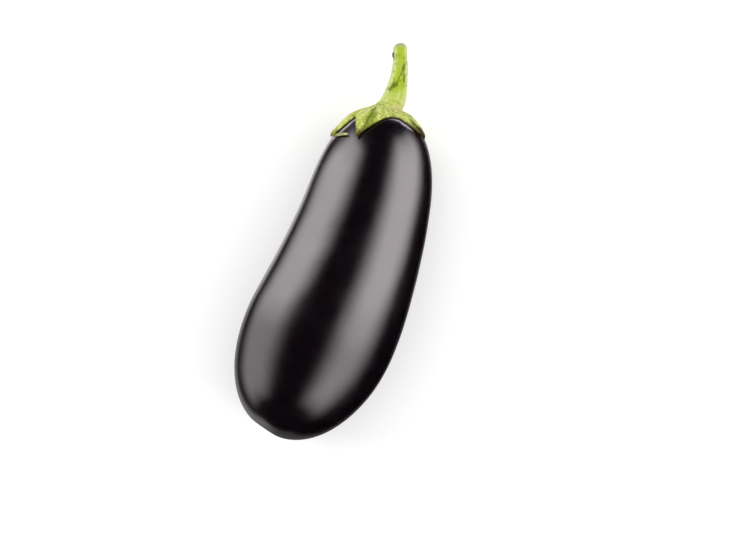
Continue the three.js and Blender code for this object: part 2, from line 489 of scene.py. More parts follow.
def lobe_at(angle):
    """How near an angle is to a lobe's middle, the margin's reach, and the angle from the middle."""
    degrees = math.degrees(angle)
    past_bays = [(degrees - lobe.bay_at) % 360 for lobe in LOBES]
    inside = min(past_bays)
    number = past_bays.index(inside)
    lobe = LOBES[number]
    following = LOBES[(number + 1) % len(LOBES)]
    to_tip = (lobe.at - lobe.bay_at) % 360
    width = (following.bay_at - lobe.bay_at) % 360
    before_tip = inside < to_tip
    nearness = inside / to_tip if before_tip else (width - inside) / (width - to_tip)
    bay_reach = lobe.bay_reach if before_tip else following.bay_reach
    lobeness = nearness**lobe.taper
    reach = math.radians(lerp(bay_reach, lobe.reach, lobeness))
    return lobeness, reach, math.radians(inside - to_tip)


def from_fold(fruit, angle, reach):
    """The distance past the fold, and how much of the fold there is at this reach."""
    line = lerp(FOLD_TOP, FOLD_AT, smooth_angle(reach, 12, 26))
    line += FOLD_WANDER * noise.noise(Vector((reach * 9, 0, 0)))
    away = turned(angle - line) * on_crown(fruit, reach, 0)[1]
    return away, smooth_angle(reach, 9, 18) * smooth_angle(reach, 62, 52)


def fold_relief(settings, angle, reach):
    """The near side of the fold rises to its line, and the far side starts below it."""
    away, extent = from_fold(settings.fruit, angle, reach)
    near = 0.45 * bell(away, 3 * MM)
    far = -0.55 * math.exp(-abs(away) / (1.8 * MM))
    return settings.calyx.fold * extent * lerp(near, far, smooth(away, -0.3 * MM, 0.3 * MM))


def fold_shade(settings, angle, reach):
    """Painted shade of the fold: 1 in its painted shadow line, and less in the olive painted shade
    beyond it.
    """
    away, extent = from_fold(settings.fruit, angle, reach)
    line = bell(away - 0.4 * MM, 0.75 * MM)
    beyond = smooth(away, 0, 0.5 * MM) * smooth(away, 5.5 * MM, 2.5 * MM) * smooth(reach, 0.42, 0.6)
    return extent * max(line, 0.8 * beyond)


def on_calyx(settings, angle, share, rise):
    """A point of the calyx by how far out it lies, 1 at its margin, and how far up its thickness."""
    fruit, calyx = settings.fruit, settings.calyx
    lobeness, reach, from_lobe = lobe_at(angle)
    ring = Vector((math.sin(angle), math.cos(angle), 0))
    reach += waves(ring, MARGIN_WAVES)
    inside = math.sin(math.pi * min(share, 1))
    curl = calyx.tip_lift * lobeness * share**6
    keel = calyx.keel * lobeness * inside
    rib = RIB_HEIGHT * lobeness**2 * inside**0.7 * bell(from_lobe, RIB_WIDTH)
    crumple = waves(ring + Vector((0, 0, 1.6 * share)), CRUMPLES)
    wrinkle = WRINKLE_HEIGHT * noise.noise(ring * 13 + Vector((0, 0, 2.5 * share)))
    thickness = lerp(calyx.thickness, calyx.edge_thickness, min(share, 1)) + keel + rib
    thickness += crumple + wrinkle + fold_relief(settings, angle, reach * share)
    station, radius = on_crown(fruit, reach * share, calyx.skin_gap + curl + thickness * rise)
    return around(fruit, station, radius, angle)


def ridgeness(angle, height):
    """1 on a ridge of the stalk and 0 between two. At its foot the ridges run into the lobes."""
    nearest = min(abs(turned(angle - math.radians(ridge))) for ridge in STALK_RIDGES)
    share = smooth(height, RIDGES_FROM, RIDGES_FULL)
    return lerp(lobe_at(angle)[0], bell(nearest, RIDGE_WIDTH), share)


def on_stalk(settings, angle, height, share):
    """A point of the stalk by its height along the arc and its share of the radius."""
    fruit, stalk = settings.fruit, settings.stalk
    bend_radius = stalk.length / (stalk.end_lean - stalk.lean)
    lean = lerp(stalk.lean, stalk.end_lean, height / stalk.length)
    grain = Vector((math.sin(angle), math.cos(angle), height / GRAIN_LENGTH))
    ridge = stalk.ridge * (2 * ridgeness(angle, height) - 1) + waves(grain, STALK_GRAIN)
    taper = smooth(height, 0, stalk.taper_length)
    radius = lerp(stalk.base_radius, stalk.end_radius, taper) * (1 + ridge)
    beside_nub = turned(angle - NUB.round / MARK_RADIUS) * MARK_RADIUS
    from_nub = Vector((beside_nub / NUB.width, (height - NUB.height) / NUB.length)).length
    radius = (radius + NUB_HEIGHT * bell(from_nub, 0.5)) * share
    across = radius * math.sin(angle)
    along = bend_radius * (math.cos(stalk.lean) - math.cos(lean)) + stalk.offset * (1 - taper)
    outward = along + across * math.cos(lean)
    above = bend_radius * (math.sin(lean) - math.sin(stalk.lean)) - across * math.sin(lean)
    return on_fruit(fruit, -above, outward, radius * math.cos(angle))


def on_flare(settings, angle, share):
    """The fillet between the calyx and the stalk, from 0 on the calyx to 1 on the stalk."""
    reach = lobe_at(angle)[1]
    foot = on_calyx(settings, angle, FLARE_REACH / reach, 1)
    corner = on_stalk(settings, angle, FLARE_CORNER, 1)
    top = on_stalk(settings, angle, FLARE_TOP, 1)
    return foot * (1 - share) ** 2 + corner * 2 * share * (1 - share) + top * share**2


Ring = namedtuple("Ring", "zone along rise")


def shell_rings(stalk):
    """The rings of the calyx and stalk: under the calyx, round its margin, and up to the cut end."""
    rings = []
    for step in range(UNDER_RINGS):
        rings.append(Ring("calyx", math.sin(math.pi / 2 * step / UNDER_RINGS), 0))
    for step in range(MARGIN_RINGS + 1):
        turn = math.pi * step / MARGIN_RINGS
        rings.append(Ring("calyx", 1 + MARGIN_BULGE * math.sin(turn), (1 - math.cos(turn)) / 2))
    rings += [Ring("upper", step / UPPER_RINGS, 1) for step in range(1, UPPER_RINGS)]
    rings += [Ring("flare", step / FLARE_RINGS, 1) for step in range(FLARE_RINGS)]
    cut_start = stalk.length - stalk.cut_rounding
    for step in range(STALK_RINGS):
        rings.append(Ring("stalk", lerp(FLARE_TOP, cut_start, step / STALK_RINGS), 1))
    for step in range(CUT_RINGS + 1):
        sweep = math.pi / 2 * step / CUT_RINGS
        rings.append(Ring("stalk", cut_start + stalk.cut_rounding * math.sin(sweep), math.cos(sweep)))
    return rings


def on_shell(settings, ring, angle):
    """A point of the calyx and stalk, by its ring and its angle."""
    if ring.zone == "calyx":
        return on_calyx(settings, angle, ring.along, ring.rise)
    if ring.zone == "upper":
        foot = FLARE_REACH / lobe_at(angle)[1]
        return on_calyx(settings, angle, lerp(1, foot, ring.along), 1)
    if ring.zone == "flare":
        return on_flare(settings, angle, ring.along)
    return on_stalk(settings, angle, ring.along, ring.rise)


def on_curl(settings, along, across, up):
    """A point of the torn strip that curls off one lobe's tip, by three offsets from -1 to 1."""
    fruit = settings.fruit
    share = (along + 1) / 2
    torn = 1 + 0.5 * noise.noise(Vector((along * 3, across * 0.8, 4)))
    blunt = max(1 - along * along, 0.02) ** -0.3
    width = lerp(*CURL_WIDTHS, share) * across * torn * blunt
    reach = lerp(*CURL_REACHES, smooth(share, 0, 0.35)) + width / CURL_RADIUS
    lift = lerp(*CURL_LIFTS, smooth(share, 0.05, 0.45)) + CURL_HOOK * share**3
    height = lift + CURL_CUP * across * across + CURL_THICKNESS * up
    station, radius = on_crown(fruit, reach, height)
    return around(fruit, station, radius, lerp(*CURL_ANGLES, share))


def margin_by_angle(settings):
    """Points along the margin of the calyx, and the station that the margin has at each angle."""
    points = []
    stations = []
    for step in range(CALYX_SIDES * 2):
        angle = math.tau * step / (CALYX_SIDES * 2)
        reach = lobe_at(angle)[1]
        points.append(on_calyx(settings, angle, 1, 0))
        stations.append(on_crown(settings.fruit, reach, 0)[0])
    return points, stations


# --- What the materials need to know at each point ---


def pale_rim(angle):
    """Width of the pale skin, partly a painted highlight, at an angle, between the two entries of the
    table beside it.
    """
    degrees = math.degrees(angle) % 360
    number = bisect.bisect_right([at for at, _ in PALE_RIM], degrees)
    (before, first), (after, second) = PALE_RIM[number - 1 : number + 1]
    return MM * lerp(first, second, (degrees - before) / (after - before))


def dryness(angle, reach, share):
    """How dry and brown the calyx is, most of all at the tips of its lobes."""
    patches = (
        patch.strength * beside(angle, patch) * smooth(share, patch.start, patch.end)
        for patch in DRY_PATCHES
    )
    return smooth_angle(reach, 33, 40) * max(patches)


def shell_marks(settings, ring, angle, point):
    """The attributes of a point of the calyx and stalk."""
    reach = lobe_at(angle)[1]
    around_it = turned(angle) * MARK_RADIUS
    spoke = Vector((math.sin(angle), math.cos(angle), 0)) * RAY_RADIUS
    ray = spoke + Vector((0, 0, point.x * RAY_SHARE))
    marks = {"grain": point, "ray": ray}
    if ring.zone in ("calyx", "upper"):
        share = ring.along if ring.zone == "calyx" else lerp(1, FLARE_REACH / reach, ring.along)
        marks["share"] = share + 0.1 * (1 - ring.rise) - 0.12 * beside(angle, PALE_EDGE)
        marks["place"] = Vector((around_it, -reach * share * CROWN_RADIUS, 0))
        # The fold attribute is painted shade: the fold's shadow line and its olive far side.
        marks["fold"] = fold_shade(settings, angle, reach * min(share, 1))
        marks["dry"] = dryness(angle, reach, share)
    else:
        height = FLARE_TOP * ring.along if ring.zone == "flare" else ring.along
        marks["height"] = height
        marks["place"] = Vector((around_it, height, 0))
        marks["ridge"] = ridgeness(angle, height)
        marks["share"] = 0.9 * ring.rise
        if ring.zone == "flare":
            # The fold's painted shade runs on over the fillet.
            marks["fold"] = fold_shade(settings, angle, FLARE_REACH) * (1 - ring.along)
    return marks


def curl_marks(x, z, point):
    """The attributes of a point of the torn strip, by where it lay on the unit sphere, with painted
    shade underneath and a painted highlight at its free end.
    """
    return {
        # The underside takes the brown of the margin as painted shade under the strip.
        "share": 0.8 if z > -0.2 else 1.1,
        # Past 1, at the free end, the curl is a painted highlight in the palest green.
        "curl": smooth(x, -0.5, 0.1) + smooth(x, 0.5, 0.95),
        "dry": 0.9 * smooth(x, 0.3, -0.3),
        "grain": point,
        "ray": point,
    }


# --- Mesh helpers ---


def spun(rings, sides):
    """A closed surface of revolution of unit radius. Each ring's height is its number."""
    bm = bmesh.new()
    radii = [0] + [1] * (rings - 2) + [0]
    chain = [bm.verts.new((radius, 0, number)) for number, radius in enumerate(radii)]
    edges = [bm.edges.new(pair) for pair in zip(chain, chain[1:])]
    turn = {"cent": (0, 0, 0), "axis": (0, 0, 1), "angle": math.tau, "steps": sides}
    bmesh.ops.spin(bm, geom=chain + edges, use_merge=True, **turn)
    bmesh.ops.remove_doubles(bm, verts=bm.verts, dist=0.001)
    return bm


def new_layers(bm, floats, vectors=()):
    """The attributes that the materials read, as layers by their names."""
    layers = {name: bm.verts.layers.float.new(name) for name in floats}
    layers.update({name: bm.verts.layers.float_vector.new(name) for name in vectors})
    return layers


def set_marks(vert, layers, marks):
    for name, value in marks.items():
        vert[layers[name]] = value


def linked(name, data):
    """A new object in the scene."""
    thing = bpy.data.objects.new(name, data)
    bpy.context.scene.collection.objects.link(thing)
    return thing


def object_of(bm, name, material):
    """Turns a bmesh into an object with one material."""
    mesh = bpy.data.meshes.new(name)
    bm.to_mesh(mesh)
    bm.free()
    mesh.materials.append(material)
    return linked(name, mesh)


def finished(bm, name, node, material):
    """Turns a bmesh into a smooth object that rides on the part in place of its own node."""
    bmesh.ops.recalc_face_normals(bm, faces=bm.faces)
    for face in bm.faces:
        face.smooth = True
    piece = object_of(bm, name, material)
    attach(piece, "root")
    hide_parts(node)


# --- Material helpers ---


def new_material(name):
    material = bpy.data.materials.new(name)
    material.use_nodes = True
    return material, material.node_tree, material.node_tree.nodes["Principled BSDF"]


def connect(tree, socket, value):
    """Links a socket to another one, or sets its own value."""
    if isinstance(value, bpy.types.NodeSocket):
        tree.links.new(value, socket)
    elif socket.type == "RGBA":
        socket.default_value = (*value, 1)
    else:
        socket.default_value = value


def add_node(tree, kind, inputs, **settings):
    """A node with its settings made and its inputs connected by name or number."""
    node = tree.nodes.new(kind)
    for key, value in settings.items():
        setattr(node, key, value)
    for key, value in inputs.items():
        connect(tree, node.inputs[key], value)
    return node


def attribute(tree, name, output="Fac"):
    return add_node(tree, "ShaderNodeAttribute", {}, attribute_name=name).outputs[output]


def step_of(tree, value, start, end, to_start=0.0, to_end=1.0):
    """A soft step of a value from one range to another. It falls where start is above end."""
    if start > end:
        start, end, to_start, to_end = end, start, to_end, to_start
    inputs = {"Value": value, "From Min": start, "From Max": end}
    inputs.update({"To Min": to_start, "To Max": to_end})
    step = add_node(tree, "ShaderNodeMapRange", inputs, interpolation_type="SMOOTHSTEP")
    return step.outputs["Result"]


def painted(tree, base, *coats):
    """A colour with others laid over it in turn, each one where its mask is."""
    for mask, coat in coats:
        inputs = {0: mask, 6: base, 7: coat}
        base = add_node(tree, "ShaderNodeMix", inputs, data_type="RGBA").outputs[2]
    return base


def calculated(tree, operation, *values):
    """One sum, product or other operation on two values, or on more from the left."""
    result = values[0]
    for value in values[1:]:
        node = add_node(tree, "ShaderNodeMath", {0: result, 1: value}, operation=operation)
        result = node.outputs[0]
    return result


def product(tree, *values):
    return calculated(tree, "MULTIPLY", *values)


def noise_of(tree, vector, scale, detail=2.0, roughness=0.5):
    inputs = {"Vector": vector, "Scale": scale, "Detail": detail, "Roughness": roughness}
    return add_node(tree, "ShaderNodeTexNoise", inputs).outputs["Fac"]


def vector_of(tree, operation, *values):
    """The outputs of one operation on vectors."""
    inputs = dict(enumerate(values))
    return add_node(tree, "ShaderNodeVectorMath", inputs, operation=operation).outputs


def length_of(tree, vector):
    return vector_of(tree, "LENGTH", vector)["Value"]


def jitter(tree, place, fine, strength):
    """A place pushed about by a fine colour noise, by a strength in each direction."""
    centred = vector_of(tree, "SUBTRACT", fine.outputs["Color"], (0.5, 0.5, 0.5))[0]
    return vector_of(tree, "ADD", place, vector_of(tree, "MULTIPLY", centred, strength)[0])[0]


SPECK_SOCKETS = ("Position", "Scale", "Size", "Fray", "Share")


def speck_group():
    """Scattered specks with frayed outlines: a mask of the chosen specks, from a position."""
    group = bpy.data.node_groups.new("Specks", "ShaderNodeTree")
    for name in SPECK_SOCKETS:
        kind = "NodeSocketVector" if name == "Position" else "NodeSocketFloat"
        group.interface.new_socket(name=name, in_out="INPUT", socket_type=kind)
    group.interface.new_socket(name="Mask", in_out="OUTPUT", socket_type="NodeSocketFloat")
    source = group.nodes.new("NodeGroupInput").outputs
    result = group.nodes.new("NodeGroupOutput").inputs
    fine = add_node(group, "ShaderNodeTexNoise", {"Vector": source["Position"], "Scale": 900.0})
    place = jitter(group, source["Position"], fine, source["Fray"])
    cells = add_node(group, "ShaderNodeTexVoronoi", {"Vector": place, "Scale": source["Scale"]})
    fade = {"Value": cells.outputs["Distance"], "From Min": 0.0, "From Max": source["Size"]}
    fade.update({"To Min": 1.0, "To Max": 0.0})
    spot = add_node(group, "ShaderNodeMapRange", fade, interpolation_type="SMOOTHSTEP")
    lot = add_node(group, "ShaderNodeSeparateColor", {"Color": cells.outputs["Color"]}).outputs[0]
    chosen = calculated(group, "LESS_THAN", lot, source["Share"])
    group.links.new(product(group, spot.outputs["Result"], chosen), result["Mask"])
    return group


def specks(tree, *values):
    """A mask of specks, by their position, scale, size, fray and share."""
    node = tree.nodes.new("ShaderNodeGroup")
    node.node_tree = bpy.data.node_groups.get("Specks") or speck_group()
    for key, value in zip(SPECK_SOCKETS, values):
        connect(tree, node.inputs[key], value)
    return node.outputs["Mask"]


def add_bump(tree, shader, height, strength, distance):
    inputs = {"Height": height, "Strength": strength, "Distance": distance}
    bump = add_node(tree, "ShaderNodeBump", inputs)
    tree.links.new(bump.outputs["Normal"], shader.inputs["Normal"])


def skin_material(fruit):
    """Waxy black-purple skin that pales next to the calyx, with a corky scar at the blossom end."""
    material, tree, shader = new_material("eggplant_skin")
    position = add_node(tree, "ShaderNodeTexCoord", {}).outputs["Object"]
    patches = step_of(tree, noise_of(tree, position, 22.0, 3.0), 0.45, 0.75)

    wander = product(tree, noise_of(tree, position, 420.0), 0.9 * MM)
    from_calyx = calculated(tree, "SUBTRACT", attribute(tree, "from_calyx"), wander)
    rim = attribute(tree, "pale_rim")
    near_calyx = step_of(tree, from_calyx, 5.0 * MM, 0.8 * MM)
    violet = product(tree, near_calyx, step_of(tree, rim, 0.6 * MM, 2.4 * MM))
    # A painted highlight: lighter lilac in the slit between two lobes.
    in_slit = step_of(tree, from_calyx, 8.5 * MM, 2.5 * MM)
    slit_highlight = product(tree, attribute(tree, "slit"), in_slit)
    # The pale band past the calyx: partly pale skin, partly a painted highlight.
    past_rim = calculated(tree, "SUBTRACT", from_calyx, rim)
    past_calyx = step_of(tree, from_calyx, 0.2 * MM, 0.8 * MM)
    pale_skin_and_highlight = product(tree, step_of(tree, past_rim, 0.4 * MM, -1.1 * MM), past_calyx)
    by_lobe = step_of(tree, from_calyx, 4.5 * MM, 0.5 * MM)
    ruddy = product(tree, attribute(tree, "ruddy"), by_lobe)

    ragged = product(tree, noise_of(tree, position, 1100.0, 3.0), 1.8 * MM)
    from_tip = calculated(tree, "ADD", attribute(tree, "from_tip"), ragged)
    scar = step_of(tree, from_tip, 4.4 * MM, 3.6 * MM)
    halo = step_of(tree, from_tip, 9.0 * MM, 4.0 * MM, 0.0, 0.6)
    middle = step_of(tree, from_tip, 2.4 * MM, 1.4 * MM, 0.0, 0.8)
    crust = step_of(tree, noise_of(tree, position, 800.0, 4.0, 0.65), 0.36, 0.62)
    cork = painted(tree, fruit.scar, (crust, fruit.scar_crust), (middle, fruit.scar_middle))
    base = painted(
        tree,
        fruit.skin,
        (patches, fruit.warm),
        (violet, fruit.violet),
        (slit_highlight, fruit.slit_highlight),
        (pale_skin_and_highlight, fruit.pale_skin_and_highlight),
        (ruddy, fruit.ruddy),
        (halo, fruit.scar_halo),
        (scar, cork),
    )
    tree.links.new(base, shader.inputs["Base Color"])

    gloss = step_of(tree, noise_of(tree, position, 60.0, 4.0, 0.6), 0.3, 0.7, 0.17, 0.23)
    dull = calculated(tree, "MAXIMUM", product(tree, pale_skin_and_highlight, 0.25), scar)
    rough = calculated(tree, "MINIMUM", calculated(tree, "ADD", gloss, dull), 0.7)
    tree.links.new(rough, shader.inputs["Roughness"])
    shader.inputs["IOR"].default_value = 2.6

    pores = specks(tree, position, 900.0, 0.22, 0.3 * MM, 0.6)
    grain = noise_of(tree, position, 230.0, 3.0, 0.55)
    height = calculated(tree, "SUBTRACT", grain, product(tree, pores, 0.2))
    add_bump(tree, shader, height, 0.08, 0.4 * MM)
    return material


def mark_mask(tree, place, *marks):
    """1 in the middle of one of the marks on the stalk and 0 beyond its edge."""
    masks = []
    for mark in marks:
        mapping = {"Vector": place, "Location": (mark.round, mark.height, 0)}
        mapping.update({"Rotation": (0, 0, -mark.lean), "Scale": (mark.width, mark.length, 1)})
        local = add_node(tree, "ShaderNodeMapping", mapping, vector_type="TEXTURE").outputs[0]
        masks.append(step_of(tree, length_of(tree, local), 1.0, 0.25))
    return calculated(tree, "MAXIMUM", *masks)


def leaf_colour(tree, calyx, grain, ray):
    """Mottled green with pale and dark specks, and the fold's painted shade: its olive far side and
    its dark shadow line.
    """
    blotches = product(tree, noise_of(tree, grain, 640.0, 6.0, 0.7), 0.7)
    veins = product(tree, noise_of(tree, ray, 1000.0, 3.0), 0.3)
    mottle = step_of(tree, calculated(tree, "ADD", blotches, veins), 0.41, 0.59)
    # Painted shade of the fold: olive on its far side, and the dark green of the specks for its shadow
    # line.
    fold = attribute(tree, "fold")
    return painted(
        tree,
        calyx.middle,
        (mottle, calyx.light),
        (fold, calyx.folded),
        (step_of(tree, fold, 0.82, 0.96, 0.0, 0.85), calyx.dark),
        (product(tree, specks(tree, grain, 1000.0, 0.46, 0.6 * MM, 0.34), 0.75), calyx.bright),
        (product(tree, specks(tree, grain, 580.0, 0.55, 1.2 * MM, 0.42), 0.95), calyx.dark),
    )


def stem_colour(tree, settings, grain, ray, place):
    """Green that pales along the ridges and at the foot, with olive bruises and a dried nub, and
    painted light on its flanks near the cut end.
    """
    calyx, stalk = settings.calyx, settings.stalk
    streak = product(tree, noise_of(tree, ray, 620.0, 3.0), 0.7)
    ridge = calculated(tree, "ADD", attribute(tree, "ridge"), streak)
    near_foot = step_of(tree, attribute(tree, "height"), 17 * MM, 6 * MM, 0.0, 0.5)
    # Painted light along the stalk's flanks, with one more pale mark lower down.
    streaks_and_flank_light = product(tree, mark_mask(tree, place, *PALE_STREAKS_AND_FLANK_LIGHT), 0.7)
    paleness = calculated(tree, "MAXIMUM", step_of(tree, ridge, 0.25, 1.1), near_foot, streaks_and_flank_light)
    olive = step_of(tree, noise_of(tree, grain, 260.0, 4.0, 0.6), 0.52, 0.66, 0.0, 0.4)
    return painted(
        tree,
        stalk.green,
        (paleness, stalk.pale),
        (olive, stalk.bruise),
        (product(tree, mark_mask(tree, place, *BRUISES), 0.8), stalk.bruise),
        (mark_mask(tree, place, NUB), calyx.margin),
    )


def cut_colour(tree, stalk, grain, share):
    """The dry cut end, with fine rings and a woody ring inside its skin."""
    rings = step_of(tree, noise_of(tree, grain, 900.0, 3.0), 0.35, 0.65, 0.0, 0.5)
    outside = step_of(tree, share, 0.82, 0.66, 0.0, 0.6)
    woody = product(tree, step_of(tree, share, 0.30, 0.48), outside)
    return painted(tree, stalk.cut, (rings, stalk.cut_ring), (woody, stalk.cut_wood))


def calyx_material(settings):
    """Mottled yellow-green calyx and stalk, with dried tips, bruises and a dry cut end."""
    calyx, stalk = settings.calyx, settings.stalk
    material, tree, shader = new_material("eggplant_calyx")
    grain = attribute(tree, "grain", "Vector")
    ray = attribute(tree, "ray", "Vector")
    share = attribute(tree, "share")
    height = attribute(tree, "height")
    fine = add_node(tree, "ShaderNodeTexNoise", {"Vector": grain, "Scale": 620.0, "Detail": 3.0})
    place = attribute(tree, "place", "Vector")
    place = jitter(tree, place, fine, (3.6 * MM, 6.0 * MM, 0))

    wander = product(tree, noise_of(tree, grain, 600.0), 0.06)
    edge = calculated(tree, "ADD", share, wander)
    dry = calculated(tree, "ADD", attribute(tree, "dry"), noise_of(tree, grain, 640.0, 4.0))
    curl = attribute(tree, "curl")
    end = step_of(tree, height, stalk.length - 4.6 * MM, stalk.length - 1.2 * MM)
    base = painted(
        tree,
        leaf_colour(tree, calyx, grain, ray),
        (step_of(tree, height, 1 * MM, 9 * MM), stem_colour(tree, settings, grain, ray, place)),
        (product(tree, mark_mask(tree, place, BLUSH), 0.5), stalk.blush),
        (step_of(tree, edge, 1.005, 1.045, 0.0, 0.75), calyx.margin),
        (step_of(tree, dry, 0.85, 1.55, 0.0, 0.95), calyx.dry),
        (step_of(tree, dry, 1.25, 1.95, 0.0, 0.95), calyx.withered),
        (step_of(tree, curl, 0.0, 1.0, 0.0, 0.85), calyx.curl),
        # Painted highlight at the free end of the torn strip.
        (step_of(tree, curl, 1.0, 2.0, 0.0, 0.5), calyx.bright),
        (end, cut_colour(tree, stalk, grain, share)),
    )
    tree.links.new(base, shader.inputs["Base Color"])

    tree.links.new(step_of(tree, dry, 1.2, 1.7, 0.6, 0.95), shader.inputs["Roughness"])
    finish = {
        "Specular IOR Level": 0.35,
        "Sheen Weight": 0.06,
        "Sheen Roughness": 0.4,
        "Subsurface Weight": 0.25,
        "Subsurface Radius": (0.6, 0.8, 0.25),
        "Subsurface Scale": 2.5 * MM,
    }
    for name, value in finish.items():
        shader.inputs[name].default_value = value

    grit = product(tree, noise_of(tree, grain, 1300.0, 4.0, 0.6), 0.6)
    relief = calculated(tree, "ADD", grit, noise_of(tree, ray, 900.0))
    add_bump(tree, shader, relief, 0.55, 0.7 * MM)
    return material


# --- Operators ---


class EGGPLANT_OT_fruit(bpy.types.Operator):
    """Build the fruit with its glossy skin"""

    bl_idname = "eggplant.fruit"
    bl_label = "Fruit"

    def execute(self, context):
        settings = context.scene.eggplant
        fruit = settings.fruit
        margin, margin_stations = margin_by_angle(settings)
        tree = kdtree.KDTree(len(margin))
        for number, point in enumerate(margin):
            tree.insert(point, number)
        tree.balance()
        turn = rest_turn(fruit)
        offset = seat(fruit)
        stations = fruit_stations(fruit)
        tip = on_skin(fruit, fruit.length, 0)
        bm = spun(len(stations), FRUIT_SIDES)
        layers = new_layers(bm, ("from_calyx", "from_tip", "pale_rim", "ruddy", "slit"))
        for vert in bm.verts:
            station = stations[round(vert.co.z)]
            angle = math.atan2(vert.co.y, vert.co.x)
            point = on_skin(fruit, station, angle)
            at_margin = margin_stations[round(angle / math.tau * len(margin)) % len(margin)]
            distance = tree.find(point)[2]
            marks = {
                "from_calyx": distance if station > at_margin else -distance,
                "from_tip": (point - tip).length,
                "pale_rim": pale_rim(angle),
                "ruddy": beside(angle, RUDDY),
                "slit": beside(angle, SLIT),
            }
            set_marks(vert, layers, marks)
            vert.co = turn @ point + offset
            vert.co.z = max(vert.co.z, 0)
        finished(bm, "fruit_skin", "fruit", skin_material(fruit))
        return {"FINISHED"}


class EGGPLANT_OT_calyx_and_stalk(bpy.types.Operator):
    """Build the green calyx and the stalk that grows out of it"""

    bl_idname = "eggplant.calyx_and_stalk"
    bl_label = "Calyx and stalk"

    def execute(self, context):
        settings = context.scene.eggplant
        turn = rest_turn(settings.fruit)
        offset = seat(settings.fruit)
        rings = shell_rings(settings.stalk)
        bm = spun(len(rings), CALYX_SIDES)
        floats = ("share", "height", "ridge", "fold", "dry", "curl")
        vectors = ("grain", "ray", "place")
        layers = new_layers(bm, floats, vectors)
        for vert in bm.verts:
            ring = rings[round(vert.co.z)]
            angle = math.atan2(vert.co.y, vert.co.x)
            point = on_shell(settings, ring, angle)
            set_marks(vert, layers, shell_marks(settings, ring, angle, point))
            vert.co = turn @ point + offset
        ball = {"u_segments": CURL_SEGMENTS, "v_segments": CURL_SEGMENTS // 2, "radius": 1}
        for vert in bmesh.ops.create_uvsphere(bm, **ball)["verts"]:
            point = on_curl(settings, *vert.co)
            set_marks(vert, layers, curl_marks(vert.co.x, vert.co.z, point))
            vert.co = turn @ point + offset
        finished(bm, "calyx_and_stalk", "calyx_and_stem", calyx_material(settings))
        return {"FINISHED"}


class EGGPLANT_OT_studio(bpy.types.Operator):
    """Build the floor, the lamps and the camera"""

    bl_idname = "eggplant.studio"
    bl_label = "Studio"

    def execute(self, context):
        scene = context.scene
        settings = scene.eggplant
        scene.view_settings.view_transform = "Standard"
        add_floor(settings.studio)
        add_tent(settings.studio)
        for lamp in LAMPS:
            add_lamp(lamp, getattr(settings.studio, lamp.power))
        add_world(settings.studio)
        add_camera(settings)
        return {"FINISHED"}


def add_floor(studio):
    """Pale paper with a faint glow of its own, which grows away from the eggplant."""
    bm = bmesh.new()
    bmesh.ops.create_circle(bm, cap_ends=True, segments=96, radius=FLOOR_RADIUS)
    material, tree, shader = new_material("floor_paper")
    shader.inputs["Base Color"].default_value = (*studio.floor, 1)
    shader.inputs["Roughness"].default_value = 0.9
    shader.inputs["Specular IOR Level"].default_value = 0.1
    shader.inputs["Emission Color"].default_value = (1, 1, 1, 1)
    position = add_node(tree, "ShaderNodeTexCoord", {}).outputs["Object"]
    glow = step_of(tree, length_of(tree, position), 0.5, 1.4, studio.floor_glow, 0.9)
    tree.links.new(glow, shader.inputs["Emission Strength"])
    floor = object_of(bm, "floor", material)
    floor.visible_glossy = False


def add_tent(studio):
    """A cloth tunnel round the eggplant that only its gloss sees, lit along its two sides."""
    bm = bmesh.new()
    radii = {"radius1": TENT_RADIUS, "radius2": TENT_RADIUS}
    bmesh.ops.create_cone(bm, cap_ends=False, segments=96, depth=TENT_LENGTH, **radii)
    lying = Matrix.Rotation(math.pi / 2, 3, "Y")
    bmesh.ops.rotate(bm, verts=bm.verts, cent=(0, 0, 0), matrix=lying)
    bmesh.ops.translate(bm, verts=bm.verts, vec=MIDDLE + Vector((TENT_SHIFT, 0, 0)))
    material = bpy.data.materials.new("tent_cloth")
    material.use_nodes = True
    tree = material.node_tree
    tree.nodes.clear()
    light = {"Color": studio.tent, "Strength": tent_light(tree, studio)}
    emission = add_node(tree, "ShaderNodeEmission", light)
    add_node(tree, "ShaderNodeOutputMaterial", {"Surface": emission.outputs[0]})
    tent = object_of(bm, "tent", material)
    tent.visible_camera = False
    tent.visible_diffuse = False
    tent.visible_shadow = False
    tent.visible_transmission = False
    material.cycles.emission_sampling = "NONE"


